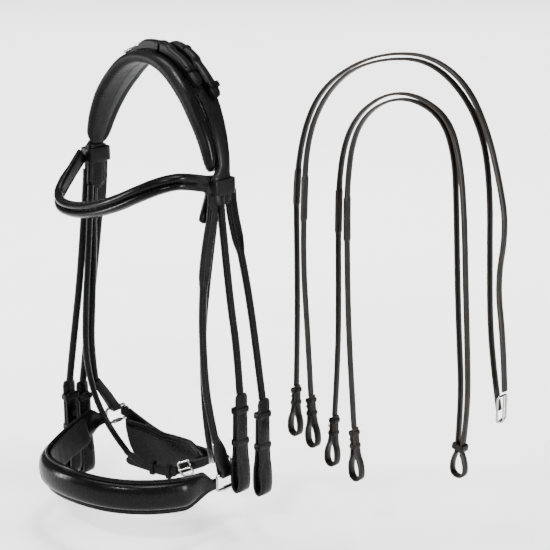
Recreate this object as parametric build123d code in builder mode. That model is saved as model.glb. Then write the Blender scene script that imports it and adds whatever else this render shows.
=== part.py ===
"""Double bridle with two pairs of reins, in millimetres.

The horse's poll is the origin and +Z is up. The horse faces -Y, so its near (left) side is at +X.
The headpiece stands over the poll as an arch, the straps hang from it, and the two pairs of
reins hang in a plane of their own beside the near side.
"""

from build123d import *
from math import radians, tan
import os

# ---------------------------------------------------------------- driving dimensions

# headpiece: the inner outline of the arch, near half, from the cheek up to the crown
ARCH_HALF = [(104, -168), (103.5, -116), (89, -72), (63, -32), (24, 0)]
PADDING_THICKNESS = 8
ROLL_THICKNESS = 14
TAB_THICKNESS = 2
CROWN_STRAP_THICKNESS = 5
LAYER_GAP = 0.2

# straps over the crown
POLL_STRAP_THICKNESS = 6
POLL_STRAP_WIDTH = 13
POLL_KEEPER_WALL = 1.2
POLL_BUCKLE_LENGTH = 14

# browband
BROW_HEIGHT = 19
BROW_THICKNESS = 10
BROW_LOOP = (109.5, 3, -124)
BROW_LOOP_HEIGHT = 18
BROW_LOOP_INNER = (15.8, 29)

# side straps: rolled leather, and the doubled billets below it
CHEEK_DIAMETER = 9.5
HANGER_DIAMETER = 9.5
THROAT_DIAMETER = 8
BILLET_WIDTH = 18
BILLET_THICKNESS = 3.6

# noseband
NOSE_HEIGHT = 44
NOSE_THICKNESS = 13
NOSE_CORNER = 5.5
NOSE_LINING = 3
NOSE_END_HEIGHT = 15
NOSE_END_THICKNESS = 5
RING_LENGTH = 30
RING_HEIGHT = 20
RING_WIRE = 3.4
NEAR_RING = (104, 13, -487)
FAR_RING = (-104, 15, -466)

# reins
REIN_WIDTH = 8
REIN_THICKNESS = 3
REIN_Y = 100

os.makedirs("parts", exist_ok=True)


# ---------------------------------------------------------------- helpers


def finish(piece, label):
    """Names a finished piece and writes it."""
    piece.part.label = label
    export_step(piece.part, "parts/" + label + ".step")


def bend_radii(points):
    """The largest arc that each corner's two runs allow."""
    corners = [Vector(*p) for p in points]
    radii = []
    for before, here, after in zip(corners, corners[1:], corners[2:]):
        turn = (here - before).get_angle(after - here)
        shorter = min((here - before).length, (after - here).length)
        radii.append(0.45 * shorter / tan(radians(turn) / 2))
    return radii


def mirrored(half):
    """A whole outline from its near half, which ends short of the middle."""
    return half + [(-x, z) for x, z in reversed(half)]


def rolled_strap(label, points, diameter, end=None):
    """A round strap along a route in space, with its flat end if it has one."""
    with BuildPart() as strap:
        with BuildLine() as route:
            FilletPolyline(*points, radius=bend_radii(points))
        with BuildSketch(Plane(origin=route.line @ 0, z_dir=route.line % 0)):
            Circle(diameter / 2)
        sweep(path=route.wires()[0])
        if end:
            add(end)
    finish(strap, label)


def keeper(label, planes, inner_width, inner_thickness, height, wall=1.6):
    """Leather keepers: each a band round a strap, at a plane across that strap."""
    with BuildPart() as band:
        for plane in planes:
            with BuildSketch(plane):
                RectangleRounded(inner_width + 2 * wall, inner_thickness + 2 * wall, wall)
                Rectangle(inner_width, inner_thickness, mode=Mode.SUBTRACT)
            extrude(amount=height / 2, both=True)
    finish(band, label)


def wire_frame(label, plane, length, height, wire):
    """A rounded rectangular frame of round wire, lying in the plane."""
    with BuildPart() as frame:
        with BuildLine(plane) as outline:
            FilletPolyline(
                (-length / 2, 0),
                (-length / 2, height / 2),
                (length / 2, height / 2),
                (length / 2, -height / 2),
                (-length / 2, -height / 2),
                close=True,
                radius=[0, wire, wire, wire, wire],
            )
        with BuildSketch(Plane(origin=outline.line @ 0, z_dir=outline.line % 0)):
            Circle(wire / 2)
        sweep(path=outline.wires()[0])
    finish(frame, label)


def billet(plane, path, thickness, width):
    """A strap folded back on itself in the plane, open at the fold as a loop."""
    with BuildPart() as fold:
        with BuildSketch(plane):
            with BuildLine():
                FilletPolyline(*path, radius=bend_radii(path))
            trace(line_width=thickness)
        extrude(amount=width / 2, both=True)
    return fold.part


def swept_band(points, height, thickness, corner):
    """A band on edge along a route in space: upright, so high and so thick."""
    with BuildPart() as band:
        with BuildLine() as route:
            FilletPolyline(*points, radius=bend_radii(points))
        with BuildLine() as upper_route:
            add(route.line.moved(Location((0, 0, 50))))
        along = route.line % 0
        across = along.cross(Vector(0, 0, 1))
        with BuildSketch(Plane(origin=route.line @ 0, x_dir=across, z_dir=along)):
            RectangleRounded(thickness, height, corner)
        sweep(path=route.wires()[0], binormal=upper_route.wires()[0])
    return band.part


def end_strap(points, narrow_end, wide_size, narrow_size):
    """A flat end that narrows from a band's own section, at its first point, to a smaller one."""
    wide_end = Vector(*points[0])
    stations = (
        (wide_end, wide_end - Vector(*points[1]), wide_size),
        (Vector(*narrow_end), Vector(*narrow_end) - wide_end, narrow_size),
    )
    with BuildPart() as end:
        for point, along, size in stations:
            across = Vector(0, 0, 1).cross(along)
            with BuildSketch(Plane(origin=point, x_dir=across, z_dir=along)):
                RectangleRounded(*size)
        loft(ruled=True)
    return end.part


def moved_inward(points, distance):
    """A route beside another: each point stands so far to the inside of the bend."""
    headings = []
    for start, stop in zip(points, points[1:]):
        headings.append(Vector(stop[0] - start[0], stop[1] - start[1], 0).normalized())
    moved = []
    for i, point in enumerate(points):
        along = headings[max(i - 1, 0)] + headings[min(i, len(headings) - 1)]
        inward = along.cross(Vector(0, 0, 1)) * (2 * distance / along.length**2)
        moved.append((point[0] + inward.X, point[1] + inward.Y, point[2]))
    return moved


def outline_face(plane, outline, distance):
    """What lies inside an outline with rounded corners, out to a distance from it."""
    with BuildSketch(plane) as face:
        with BuildLine():
            FilletPolyline(*outline, close=True, radius=[0] + bend_radii(outline) + [0])
        make_face()
        if distance:
            offset(amount=distance)
    return face.sketch


def rounded_face(plane, points, corner):
    """A polygon in a plane, with rounded corners."""
    with BuildSketch(plane) as face:
        with BuildLine():
            Polyline(*points, close=True)
        make_face()
        fillet(face.vertices(), radius=corner)
    return face.sketch


def layer(plane, outline, inner, outer, side_view):
    """A bent sheet between two distances from an outline, as wide as its side view."""
    outer_face = outline_face(plane, outline, outer)
    inner_face = outline_face(plane, outline, inner)
    with BuildPart() as sheet:
        extrude(outer_face, amount=60, both=True)
        extrude(inner_face, amount=70, both=True, mode=Mode.SUBTRACT)
        extrude(side_view, amount=160, both=True, mode=Mode.INTERSECT)
    return sheet.part


def line_up(plane, point, x_dir, z_dir):
    """A plane at a point of another plane, with its directions given in that plane too."""
    origin = plane.from_local_coords(Vector(*point))
    across = plane.from_local_coords(Vector(*point) + Vector(*x_dir)) - origin
    normal = plane.from_local_coords(Vector(*point) + Vector(*z_dir)) - origin
    return Plane(origin=origin, x_dir=across, z_dir=normal)


def buckle(name, plane, width, length, wire, prong_length):
    """A frame in the plane, and a prong on its bar at -Y that reaches over its bar at +Y."""
    wire_frame(name + "_buckle", plane, width, length, wire)
    bar = (0, -length / 2, 0)
    sleeve_radius = wire / 2 + 1.1
    rod_radius = 0.9
    with BuildPart() as prong:
        with BuildSketch(line_up(plane, bar, (0, 1, 0), (1, 0, 0))):
            Circle(sleeve_radius)
            Circle(wire / 2 + 0.15, mode=Mode.SUBTRACT)
        extrude(amount=1.6, both=True)
        rod_start = (0, -length / 2, wire / 2 + rod_radius + 0.2)
        with BuildSketch(line_up(plane, rod_start, (1, 0, 0), (0, 1, 0))):
            Circle(rod_radius)
        extrude(amount=prong_length)
    finish(prong, name + "_prong")


def hook_stud(label, planes):
    """Metal studs, each a pin and a round head, standing on their planes."""
    with BuildPart() as stud:
        for plane in planes:
            with BuildSketch(plane):
                Circle(1.6)
            extrude(amount=1.6)
            with BuildSketch(plane.offset(1.4)):
                Circle(3.8)
            extrude(amount=1.4)
    finish(stud, label)


# ---------------------------------------------------------------- headpiece

ARCH = mirrored(ARCH_HALF)
TAB_SIDE = [(-11, -104), (16, -104), (12, -140), (2, -168), (-27, -168), (-27, -150), (-11, -136)]
PADDING_SIDE = [(-17, 40), (34, 40), (34, -30), (18, -110), (-11, -110), (-17, -50)]
ROLL_SIDE = [(-18, 40), (-4, 40), (-4, -40), (-9, -108), (-14, -108), (-18, -50)]
STRAP_SIDE = [
    (-3, 40), (34, 40), (34, -30), (17, -112), (17, -146), (-11, -146), (-11, -112), (-8, -108), (-3, -40),
]


def headpiece():
    """Soft padding with a thick front roll and thin tabs below, and the strap over it."""
    sheets = ((PADDING_SIDE, PADDING_THICKNESS), (ROLL_SIDE, ROLL_THICKNESS), (TAB_SIDE, TAB_THICKNESS))
    with BuildPart() as padding:
        for side_points, thickness in sheets:
            add(layer(Plane.XZ, ARCH, 0, thickness, rounded_face(Plane.YZ, side_points, 2)))
    finish(padding, "headpiece_padding")

    inner = PADDING_THICKNESS + LAYER_GAP
    with BuildPart() as strap:
        side = rounded_face(Plane.YZ, STRAP_SIDE, 0.8)
        add(layer(Plane.XZ, ARCH, inner, inner + CROWN_STRAP_THICKNESS, side))
    finish(strap, "headpiece_strap")


POLL_STRAP_INNER = PADDING_THICKNESS + CROWN_STRAP_THICKNESS + 3 * LAYER_GAP + POLL_KEEPER_WALL


def arch_plane(fraction, distance, y):
    """A plane across the headpiece, X to the rear and Z along it, from the near end on."""
    with BuildLine(Plane.XZ) as arch:
        FilletPolyline(*ARCH, radius=bend_radii(ARCH))
    along = arch.line % fraction
    outward = Vector(0, 1, 0).cross(along)
    origin = arch.line @ fraction + outward * distance + Vector(0, y, 0)
    return Plane(origin=origin, x_dir=(0, 1, 0), z_dir=along)


def poll_strap(name, y, start, tip_x, keepers):
    """A short strap buckled over the crown, pointed at its free end on the near side."""
    front, rear = y - POLL_STRAP_WIDTH / 2, y + POLL_STRAP_WIDTH / 2
    side = rounded_face(Plane.YZ, [(front, 60), (front, -60), (rear, -60), (rear, 60)], 1)
    middle = POLL_STRAP_INNER + POLL_STRAP_THICKNESS / 2
    across = arch_plane(start, middle, y)
    sheet = layer(Plane.XZ, ARCH, POLL_STRAP_INNER, POLL_STRAP_INNER + POLL_STRAP_THICKNESS, side)
    start_x = across.origin.X
    plan = [
        (start_x, front - 1),
        (tip_x - 9, front - 1),
        (tip_x, y),
        (tip_x - 9, rear + 1),
        (start_x, rear + 1),
    ]
    with BuildPart() as strap:
        add(sheet)
        extrude(rounded_face(Plane.XY, plan, 0.5), amount=60, both=True, mode=Mode.INTERSECT)
    finish(strap, name + "_strap")
    bands = [arch_plane(fraction, middle, y) for fraction in keepers]
    inner_width = POLL_STRAP_WIDTH + 0.4
    keeper(name + "_keepers", bands, inner_width, POLL_STRAP_THICKNESS + 0.5, 6, POLL_KEEPER_WALL)
    reach = POLL_BUCKLE_LENGTH / 2 + 3.4
    frame = line_up(across, (0, 0, reach), (-1, 0, 0), (0, -1, 0))
    buckle(name, frame, 14, POLL_BUCKLE_LENGTH, 2.4, POLL_BUCKLE_LENGTH + 2)


# ---------------------------------------------------------------- browband

BROW_ROUTE = [
    (112, -16, -119),
    (109, -46, -110),
    (95, -67, -113),
    (71, -82, -125),
    (38, -90, -142),
    (-6, -92, -157),
    (-50, -87, -165),
    (-82, -77, -165),
    (-103, -58, -155),
    (-112, -17.2, -122),
]


def browband():
    """A padded band that dips over the forehead, and the loop at each end."""
    with BuildPart() as band:
        add(swept_band(BROW_ROUTE, BROW_HEIGHT, BROW_THICKNESS, 4))
    finish(band, "browband")
    x, y, z = BROW_LOOP
    for side, name in ((1, "near"), (-1, "far")):
        centre = Plane(origin=(side * x, y, z))
        keeper(name + "_browband_loop", [centre], *BROW_LOOP_INNER, BROW_LOOP_HEIGHT, 2)


# ---------------------------------------------------------------- cheekpieces

NEAR_BRIDOON = [(113, 1, -148), (115, 5, -200), (117, 11, -265), (120.5, 17, -320), (122.5, 19, -373)]
NEAR_CURB = [(113, 16, -148), (115, 28, -200), (117, 39, -255), (119, 49, -325), (121, 57, -391)]
FAR_BRIDOON = [(-113, -9, -148), (-116, -15, -215), (-120, -22, -290), (-125, -31, -360), (-127, -38, -412)]
FAR_CURB = [(-113, 15, -148), (-117, 9, -215), (-122, 1, -290), (-127, -10, -370), (-129, -16, -420)]
BILLET_PATH = [
    (2.1, 0),
    (2.1, -70),
    (7, -93),
    (6.2, -123),
    (-6.2, -123),
    (-7, -93),
    (-2.1, -70),
    (-2.1, -14),
]


def cheekpiece(name, side, route):
    """A rolled strap, its billet folded round the bit ring's place, two keepers and a stud."""
    x, y, z = route[-1]
    fold_plane = Plane(origin=(x, y, z), x_dir=(side, 0, 0), z_dir=(0, -side, 0))
    fold = billet(fold_plane, BILLET_PATH, BILLET_THICKNESS, BILLET_WIDTH)
    rolled_strap(name + "_cheekpiece", route, CHEEK_DIAMETER, fold)
    bands = [Plane(origin=(x, y, z - drop)) for drop in (20, 60)]
    keeper(name + "_keepers", bands, 8.4, BILLET_WIDTH + 0.4, 7)
    stud_plane = Plane(origin=(x - side * 3.9, y, z - 42), z_dir=(-side, 0, 0))
    hook_stud(name + "_stud", [stud_plane])


# ---------------------------------------------------------------- noseband and its hangers

NOSE_ROUTE = [
    (105, -30, -487),
    (99, -60, -486),
    (80, -93, -484),
    (51, -120, -482),
    (14, -136, -480),
    (-28, -139, -481),
    (-66, -129, -484),
    (-91, -104, -486),
    (-103, -70, -481),
    (-106, -36, -470),
]
NEAR_HANGER = [
    (113, -10, -148), (109, -19, -200), (106, -23, -262), (105, -21, -335), (104, -13, -392), (103.5, -2, -434),
]
FAR_HANGER = [
    (-113, 3, -148), (-110, -3, -190), (-106, -9, -245), (-104, -16, -312), (-103.5, -21, -365), (-103.5, -16, -408),
]
HANGER_END_THICKNESS = 3.5


def noseband():
    """A thick padded front, its soft lining, the narrow ends and the rings they hold."""
    wide = (NOSE_THICKNESS, NOSE_HEIGHT, NOSE_CORNER)
    narrow = (NOSE_END_THICKNESS, NOSE_END_HEIGHT, 2.2)
    eye = RING_WIRE / 2 + 0.3
    with BuildPart() as front:
        add(swept_band(NOSE_ROUTE, NOSE_HEIGHT, NOSE_THICKNESS, NOSE_CORNER))
        for ring, points in ((NEAR_RING, NOSE_ROUTE), (FAR_RING, NOSE_ROUTE[::-1])):
            bar = (ring[0], ring[1] - RING_LENGTH / 2, ring[2])
            add(end_strap(points, (bar[0], bar[1] - eye - 1, bar[2]), wide, narrow))
            with BuildSketch(Plane(origin=bar)):
                Circle(eye + 2.2)
            extrude(amount=NOSE_END_HEIGHT / 2 - 0.8, both=True)
            with BuildSketch(Plane(origin=bar)):
                Circle(eye)
            extrude(amount=NOSE_END_HEIGHT, both=True, mode=Mode.SUBTRACT)
    finish(front, "noseband_front")
    inner = moved_inward(NOSE_ROUTE, NOSE_THICKNESS / 2 + NOSE_LINING / 2 + 0.6)
    with BuildPart() as lining:
        add(swept_band(inner, NOSE_HEIGHT - 6, NOSE_LINING, 1.4))
    finish(lining, "noseband_lining")
    for centre, name in ((NEAR_RING, "near"), (FAR_RING, "far")):
        plane = Plane(origin=centre, x_dir=(0, 1, 0), z_dir=(1, 0, 0))
        wire_frame(name + "_noseband_ring", plane, RING_LENGTH, RING_HEIGHT, RING_WIRE)


def hanger(name, ring, setback, width, route):
    """A rolled strap from the headpiece whose flat end is folded round the ring's top bar."""
    top = Vector(*ring) + Vector(0, setback, RING_HEIGHT / 2)
    up = Vector(*route[-1]) - top
    fold_plane = Plane(origin=top, x_dir=(1, 0, 0), z_dir=Vector(1, 0, 0).cross(up))
    eye = RING_WIRE / 2 + 0.3
    with BuildPart() as fold:
        with BuildSketch(fold_plane):
            with Locations((0, up.length / 2 + 1)):
                Rectangle(2 * HANGER_END_THICKNESS, up.length + 2)
        extrude(amount=width / 2, both=True)
        with BuildSketch(Plane(origin=top, z_dir=(0, 1, 0))):
            Circle(eye + HANGER_END_THICKNESS)
        extrude(amount=width / 2, both=True)
        with BuildSketch(Plane(origin=top, z_dir=(0, 1, 0))):
            Circle(eye)
        extrude(amount=RING_LENGTH, both=True, mode=Mode.SUBTRACT)
        with BuildSketch(Plane(origin=ring, x_dir=(0, 1, 0), z_dir=(1, 0, 0))):
            Rectangle(RING_LENGTH + 2 * eye, RING_HEIGHT)
            Rectangle(RING_LENGTH - 2 * eye, RING_HEIGHT, mode=Mode.SUBTRACT)
        extrude(amount=eye, both=True, mode=Mode.SUBTRACT)
    rolled_strap(name + "_noseband_hanger", route, HANGER_DIAMETER, fold.part)


# ---------------------------------------------------------------- chin strap

CHIN_ROUTE = [
    (101, 28.5, -487),
    (84, 38, -487),
    (56, 46, -486),
    (20, 50.5, -490),
    (-30, 52, -497),
    (-66, 49.5, -492),
    (-88, 40.5, -480),
    (-101, 30.5, -467),
]
CHIN_STRAP_WIDTH = 14
CHIN_STRAP_THICKNESS = 3
CHIN_EYE_HEIGHT = 10
CHIN_EYE_GAP = 1.1
CHIN_PAD_Z = -505
CHIN_PAD_THICKNESS = 11
CHIN_PAD_ROUTE = [(33, 41), (5, 44), (-42, 42), (-78, 36), (-94, 26)]
CHIN_PAD_SIDE = [
    (-92, -22),
    (-77, -32),
    (-45, -33),
    (-11, -14),
    (30, 4),
    (33, 20),
    (5, 28),
    (-42, 24),
    (-82, 27),
    (-92, 31),
]


def chin_strap():
    """A padded leaf under the chin, and the strap behind it between the rings' rear bars."""
    with BuildPart() as pad:
        with BuildSketch(Plane.XY.offset(CHIN_PAD_Z)):
            with BuildLine():
                FilletPolyline(*CHIN_PAD_ROUTE, radius=bend_radii(CHIN_PAD_ROUTE))
            trace(line_width=CHIN_PAD_THICKNESS)
        extrude(amount=40, both=True)
        face_on = Plane(origin=(0, 0, CHIN_PAD_Z), x_dir=(1, 0, 0), z_dir=(0, -1, 0))
        extrude(rounded_face(face_on, CHIN_PAD_SIDE, 5), amount=90, both=True, mode=Mode.INTERSECT)
    finish(pad, "chin_pad")

    eye = RING_WIRE / 2 + CHIN_EYE_GAP
    with BuildPart() as strap:
        add(swept_band(CHIN_ROUTE, CHIN_STRAP_WIDTH, CHIN_STRAP_THICKNESS, 1.2))
        for ring in (NEAR_RING, FAR_RING):
            bar = Vector(*ring) + Vector(0, RING_LENGTH / 2, 0)
            with BuildSketch(Plane(origin=bar)):
                Circle(eye + CHIN_STRAP_THICKNESS)
            extrude(amount=CHIN_EYE_HEIGHT / 2, both=True)
            with BuildSketch(Plane(origin=bar)):
                Circle(eye)
            extrude(amount=30, both=True, mode=Mode.SUBTRACT)
    finish(strap, "chin_strap")

    band = Plane(origin=(42, 47.8, -487.5), x_dir=(0.13, 1, 0), z_dir=(1, -0.13, 0))
    keeper("chin_keepers", [band], CHIN_STRAP_THICKNESS + 1, CHIN_STRAP_WIDTH + 2, 7, 1.4)
    frame = Plane(origin=(71, 46.6, -486.5), x_dir=(0, 0, 1), z_dir=(0.243, 0.97, 0))
    buckle("chin", frame, 18, 16, 2.6, 17)


# ---------------------------------------------------------------- throatlash

THROAT_FAR = [
    (-101, -13, -173),
    (-101, -20, -240),
    (-101, -28, -305),
    (-99, -33, -370),
    (-94.5, -28, -415),
    (-90, -18, -450),
    (-78, -7.5, -482),
    (-60, -2, -501),
]
THROAT_NEAR = [
    (101, 4, -173),
    (101, -10, -235),
    (96, -14, -305),
    (94, -12, -375),
    (92, -5, -425),
    (83, 8, -458),
    (66, 24, -478),
    (58, 31, -483),
]
THROAT_PLANE = Plane(origin=(0, 15.5, -518), x_dir=(124, 36, 0), z_dir=(36, -124, 0))
THROAT_WIDTH = 12
THROAT_THICKNESS = 2.6
THROAT_LAYER = 1.5
THROAT_FAR_RUN = [(-66, 20), (-44, 8), (-18, 4), (4, 5.5), (11, 8)]
THROAT_NEAR_RUN = [(62, 37), (42, 26), (24, 17), (4, 6.5), (-18, 3.5), (-46, 5), (-67, 7)]
THROAT_BUCKLE_ALONG = (0.906, 0.423)


def throatlash():
    """Two rolled halves with flat ends that buckle together under the throat."""
    front = THROAT_PLANE.offset(THROAT_LAYER)
    rear = THROAT_PLANE.offset(-THROAT_LAYER)
    runs = ((front, THROAT_FAR_RUN, THROAT_FAR, "far"), (rear, THROAT_NEAR_RUN, THROAT_NEAR, "near"))
    for plane, run, rolled, name in runs:
        with BuildPart() as flat:
            with BuildSketch(plane):
                with BuildLine():
                    FilletPolyline(*run, radius=bend_radii(run))
                trace(line_width=THROAT_WIDTH)
            extrude(amount=THROAT_THICKNESS / 2, both=True)
        rolled_strap("throatlash_" + name, rolled, THROAT_DIAMETER, flat.part)
    bands = [line_up(THROAT_PLANE, (x, 5.5, 0), (0, 1, 0), (1, 0, 0)) for x in (-26, -2)]
    inner = 2 * THROAT_LAYER + THROAT_THICKNESS + 1.6
    keeper("throatlash_keepers", bands, THROAT_WIDTH + 4, inner, 6, 1.4)
    along_x, along_y = THROAT_BUCKLE_ALONG
    frame = line_up(THROAT_PLANE, (24, 17, THROAT_LAYER + 1.2), (along_y, -along_x, 0), (0, 0, 1))
    buckle("throatlash", frame, 17, 18, 2.6, 19)


# ---------------------------------------------------------------- reins

OUTER_LONG = [
    (135, -382),
    (136.5, -300),
    (135, -215),
    (133, -135),
    (144, -71),
    (170, -22),
    (217, 12.5),
    (269.5, 31),
    (324, 34),
    (370, 12.5),
    (399, -31),
    (417.5, -84),
    (428, -128),
    (420, -188),
    (431, -247),
    (436, -302),
]
OUTER_SHORT = [
    (159, -388),
    (153, -312),
    (145.5, -235),
    (145.5, -160),
    (149, -86),
    (171.5, -33.5),
    (211.5, 5.5),
    (264, 24.5),
    (320, 29),
    (364, 5),
    (394, -36),
    (405.5, -90),
    (409, -160),
    (413, -230),
    (421, -283),
    (430, -325),
]
INNER_LONG = [
    (197.5, -402),
    (201.5, -328),
    (201, -252),
    (199, -176),
    (200, -100),
    (217.5, -49),
    (258, -15),
    (303, -7),
    (350, -26),
    (367, -70),
    (375, -130),
    (380, -200),
    (386, -272),
    (390, -340),
    (384.25, -388),
]
INNER_SHORT = [
    (228, -408),
    (221.5, -342),
    (216, -271),
    (213, -200),
    (211, -125),
    (219.5, -63),
    (250, -27),
    (295, -12),
    (340, -25.5),
    (359, -63),
    (364, -120),
    (368.5, -190),
    (374, -258),
    (381, -328),
    (377.75, -388),
]
REIN_FOLD = [(1.8, 0), (1.8, -31), (8.5, -46), (7, -64), (-7, -64), (-8.5, -46), (-1.8, -31), (-1.8, -6)]
REIN_PLANE = Plane(origin=(0, REIN_Y, 0), x_dir=(1, 0, 0), z_dir=(0, -1, 0))


def rein_end(points, drop, across=0):
    """A plane across a rein's billet, so far below the rein's end, Z up along it."""
    along = Vector(points[1][0] - points[0][0], 0, points[1][1] - points[0][1]).normalized()
    beside = Vector(0, 1, 0).cross(along)
    origin = Vector(points[0][0], REIN_Y, points[0][1]) - along * drop + beside * across
    return Plane(origin=origin, x_dir=beside, z_dir=along)


def rein(name, points):
    """One rein: a flat strap along its route, printed with its length and tightest bend."""
    radii = bend_radii(points)
    with BuildPart() as strap:
        with BuildSketch(REIN_PLANE):
            with BuildLine() as route:
                FilletPolyline(*points, radius=radii)
            trace(line_width=REIN_THICKNESS)
        extrude(amount=REIN_WIDTH / 2, both=True)
    length = route.wires()[0].length
    print(name, "length", round(length), "radii", [round(radius) for radius in radii])
    print(name, "volume", round(strap.part.volume), "of", round(length * REIN_THICKNESS * REIN_WIDTH))
    finish(strap, name)
    top = rein_end(points, 0.2)
    fold_plane = Plane(origin=top.origin, x_dir=top.x_dir, z_dir=(0, -1, 0))
    with BuildPart() as fold:
        add(billet(fold_plane, REIN_FOLD, 2.6, REIN_WIDTH + 2))
    finish(fold, name + "_billet")
    bands = [rein_end(points, drop) for drop in (6, 22)]
    keeper(name + "_keepers", bands, 6.6, REIN_WIDTH + 2.4, 5, 1.3)


def rein_pair_studs(name, routes):
    """The hook studs of a pair of reins, one on the inner leg of each billet."""
    planes = []
    for points in routes:
        place = rein_end(points, 14, -3.1)
        planes.append(Plane(origin=place.origin, x_dir=(0, 1, 0), z_dir=place.x_dir * -1))
    hook_stud(name, planes)


def centre_buckle():
    """The buckle that joins the ends of the outer reins."""
    frame = Plane(origin=(433.2, REIN_Y, -322), x_dir=(0, 1, 0), z_dir=(1, 0, 0))
    buckle("outer_rein", frame, 15, 28, 2.4, 29)


HAND_LOOP = [(3.25, 0), (9, -11), (8, -28), (-8, -28), (-9, -11), (-3.25, 0)]


def hand_loop():
    """A teardrop loop of strap that joins the inner reins, and the slider over their legs."""
    fold_plane = Plane(origin=(381, REIN_Y, -389), x_dir=(1, 0, 0), z_dir=(0, -1, 0))
    with BuildPart() as loop:
        add(billet(fold_plane, HAND_LOOP, REIN_THICKNESS, REIN_WIDTH))
    finish(loop, "inner_rein_hand_loop")
    slider = Plane(origin=(381.6, REIN_Y, -382), x_dir=(1, 0, -0.087), z_dir=(0.087, 0, 1))
    keeper("inner_rein_slider", [slider], 12.4, REIN_WIDTH + 0.8, 7, 1.5)


# ---------------------------------------------------------------- the whole bridle

headpiece()
poll_strap("poll_front", 8, 0.56, 60, (0.49, 0.41))
poll_strap("poll_rear", 24.5, 0.52, 70, (0.46, 0.37))
browband()
cheekpiece("near_bridoon", 1, NEAR_BRIDOON)
cheekpiece("near_curb", 1, NEAR_CURB)
cheekpiece("far_bridoon", -1, FAR_BRIDOON)
cheekpiece("far_curb", -1, FAR_CURB)
noseband()
hanger("near", NEAR_RING, -1, 17, NEAR_HANGER)
hanger("far", FAR_RING, -1.5, 12, FAR_HANGER)
chin_strap()
throatlash()
rein("outer_rein_long", OUTER_LONG)
rein("outer_rein_short", OUTER_SHORT)
rein("inner_rein_long", INNER_LONG)
rein("inner_rein_short", INNER_SHORT)
rein_pair_studs("outer_rein_studs", (OUTER_LONG, OUTER_SHORT))
rein_pair_studs("inner_rein_studs", (INNER_LONG, INNER_SHORT))
centre_buckle()
hand_loop()
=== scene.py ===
import math

import bmesh
import bpy
import numpy as np
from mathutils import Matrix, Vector


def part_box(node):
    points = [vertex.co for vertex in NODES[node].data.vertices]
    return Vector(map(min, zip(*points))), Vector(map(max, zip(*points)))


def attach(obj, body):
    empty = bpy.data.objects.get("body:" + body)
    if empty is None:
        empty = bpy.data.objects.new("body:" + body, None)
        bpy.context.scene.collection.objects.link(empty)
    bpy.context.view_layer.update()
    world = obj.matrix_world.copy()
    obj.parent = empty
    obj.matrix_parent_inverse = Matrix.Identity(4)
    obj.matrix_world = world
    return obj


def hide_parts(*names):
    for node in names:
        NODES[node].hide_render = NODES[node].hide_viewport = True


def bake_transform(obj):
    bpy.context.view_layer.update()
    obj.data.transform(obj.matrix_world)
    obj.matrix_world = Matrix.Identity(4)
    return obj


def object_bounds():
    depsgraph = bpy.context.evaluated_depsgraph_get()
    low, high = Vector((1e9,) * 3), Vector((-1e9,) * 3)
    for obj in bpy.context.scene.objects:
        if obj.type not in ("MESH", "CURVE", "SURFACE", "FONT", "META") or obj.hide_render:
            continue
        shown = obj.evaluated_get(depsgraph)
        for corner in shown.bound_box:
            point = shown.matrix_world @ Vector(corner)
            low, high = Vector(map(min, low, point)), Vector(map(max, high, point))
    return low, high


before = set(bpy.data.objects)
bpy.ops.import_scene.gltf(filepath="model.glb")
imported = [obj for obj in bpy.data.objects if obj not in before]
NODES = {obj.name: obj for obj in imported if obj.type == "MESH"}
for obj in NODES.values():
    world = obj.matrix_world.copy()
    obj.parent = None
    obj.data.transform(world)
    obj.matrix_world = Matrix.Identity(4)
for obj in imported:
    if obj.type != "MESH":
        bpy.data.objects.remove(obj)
cad_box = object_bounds()
MM = 0.001
rng = np.random.RandomState(11)

# ------------------------------------------------------------------ camera

AZIMUTH = math.radians(45)
ELEVATION = math.radians(18)
TARGET = Vector((0.199, 0.0, -0.2066))
DISTANCE = 1.6
LENS = 96.97
FAR_CLIP = 30

back = Vector((
    math.sin(AZIMUTH) * math.cos(ELEVATION),
    -math.cos(AZIMUTH) * math.cos(ELEVATION),
    math.sin(ELEVATION),
))
camera = bpy.data.objects.new("camera", bpy.data.cameras.new("camera"))
bpy.context.scene.collection.objects.link(camera)
camera.location = TARGET + back * DISTANCE
camera.rotation_euler = back.to_track_quat("Z", "Y").to_euler()
camera.data.lens = LENS
camera.data.clip_end = FAR_CLIP
bpy.context.scene.camera = camera


# ------------------------------------------------------------------ materials

# How fine each noise pattern is: its scale in object coordinates, in metres.
TONE_SCALE = 60
WEAR_SCALE = 220
CREASE_SCALE = 140
TARNISH_SCALE = 300
SCRATCH_SCALE = 1500


def new_material(name, **constants):
    """A node material with constants on its shader, and its object coordinates."""
    material = bpy.data.materials.new(name)
    material.use_nodes = True
    nodes = material.node_tree.nodes
    shader = nodes["Principled BSDF"]
    for key, value in constants.items():
        shader.inputs[key.replace("_", " ")].default_value = value
    coords = nodes.new("ShaderNodeTexCoord")
    return material, nodes, material.node_tree.links, shader, coords.outputs["Object"]


def noise(nodes, links, coords, scale, detail=4, rough=0.6):
    """A noise pattern's value."""
    node = nodes.new("ShaderNodeTexNoise")
    node.inputs["Scale"].default_value = scale
    node.inputs["Detail"].default_value = detail
    node.inputs["Roughness"].default_value = rough
    links.new(coords, node.inputs["Vector"])
    return node.outputs["Fac"]


def ramp(nodes, links, value, low, high, colour_low, colour_high):
    """A colour that goes from one to the other as a value goes from low to high."""
    node = nodes.new("ShaderNodeValToRGB")
    node.color_ramp.elements[0].position = low
    node.color_ramp.elements[1].position = high
    node.color_ramp.elements[0].color = (*colour_low, 1)
    node.color_ramp.elements[1].color = (*colour_high, 1)
    links.new(value, node.inputs["Fac"])
    return node.outputs["Color"]


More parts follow.
